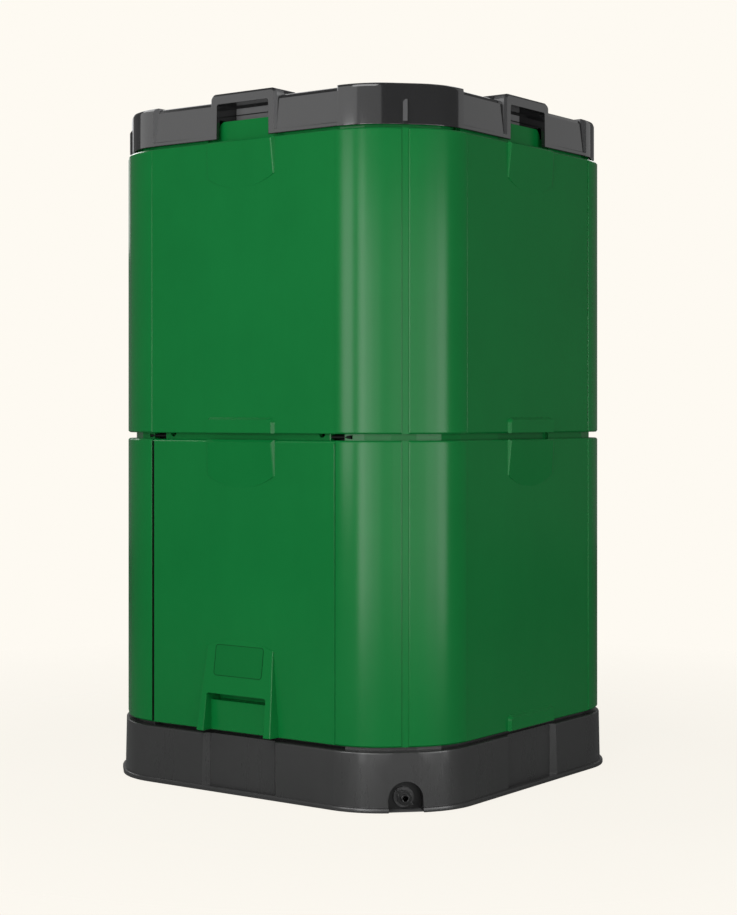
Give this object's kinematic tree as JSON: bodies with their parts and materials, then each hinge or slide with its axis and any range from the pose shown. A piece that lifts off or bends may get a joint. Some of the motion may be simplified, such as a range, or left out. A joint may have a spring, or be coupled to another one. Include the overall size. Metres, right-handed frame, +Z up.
{
  "type": "compost bin",
  "caption": "Square insulated garden compost bin with double walls on two levels, hung doors at the foot, a lift-off lid and a tapped base.",
  "frame": {"origin": "on the ground under the middle of the base", "axes": "+Z up; -Y towards the front door; +X towards the bin's right, on the tap's side"},
  "size_m": [0.74, 0.7596, 1.2],
  "materials": {
    "wall_green": "satin",
    "inner_skin": "matte",
    "wall_foam": "matte",
    "door_pins": "satin",
    "base_grey": "matte",
    "tray_black": "matte",
    "core_black": "matte",
    "lid_grey": "satin",
    "liner_grey": "matte",
    "tap_black": "satin",
    "seal_rubber": "matte"
  },
  "bodies": {
    "bin": {"base_shell": "base_grey", "reservoir_tray": "tray_black", "drainage_grate": "tray_black", "core_front": "core_black", "core_rear": "core_black", "core_cap": "core_black", "tap_body": "tap_black", "tap_back_nut": "tap_black", "right_lower_wall_outer": "wall_green", "right_lower_wall_foam": "wall_foam", "right_lower_wall_inner": "inner_skin", "left_lower_wall_outer": "wall_green", "left_lower_wall_foam": "wall_foam", "left_lower_wall_inner": "inner_skin", "rear_upper_wall_outer": "wall_green", "rear_upper_wall_foam": "wall_foam", "rear_upper_wall_inner": "inner_skin", "front_upper_wall_outer": "wall_green", "front_upper_wall_foam": "wall_foam", "front_upper_wall_inner": "inner_skin", "right_upper_panel_outer": "wall_green", "right_upper_panel_foam": "wall_foam", "right_upper_panel_inner": "inner_skin", "left_upper_panel_outer": "wall_green", "left_upper_panel_foam": "wall_foam", "left_upper_panel_inner": "inner_skin"},
    "lid": {"lid_shell": "lid_grey", "lid_liner": "liner_grey", "lid_foam": "wall_foam", "lid_seal": "seal_rubber"},
    "front_door": {"front_door_outer": "wall_green", "front_door_foam": "wall_foam", "front_door_inner": "inner_skin", "front_door_pivot_pins": "door_pins"},
    "rear_door": {"rear_door_outer": "wall_green", "rear_door_foam": "wall_foam", "rear_door_inner": "inner_skin", "rear_door_pivot_pins": "door_pins"},
    "tap_plug": {"tap_plug": "tap_black"}
  },
  "joints": [
    {"name": "lid_lift", "type": "slide", "parent": "bin", "child": "lid", "axis": [0, 0, 1], "range_m": [0, 0.25]},
    {"name": "front_door_swing", "type": "hinge", "parent": "bin", "child": "front_door", "pos_m": [0, -0.34, 0.61], "axis": [-1, 0, 0], "range_deg": [0, 26]},
    {"name": "rear_door_swing", "type": "hinge", "parent": "bin", "child": "rear_door", "pos_m": [0, 0.34, 0.61], "axis": [1, 0, 0], "range_deg": [0, 26]},
    {"name": "tap_turn", "type": "hinge", "parent": "bin", "child": "tap_plug", "pos_m": [0.29932, -0.29932, 0.021], "axis": [0.7071, -0.7071, 0], "range_deg": [0, 90]}
  ]
}
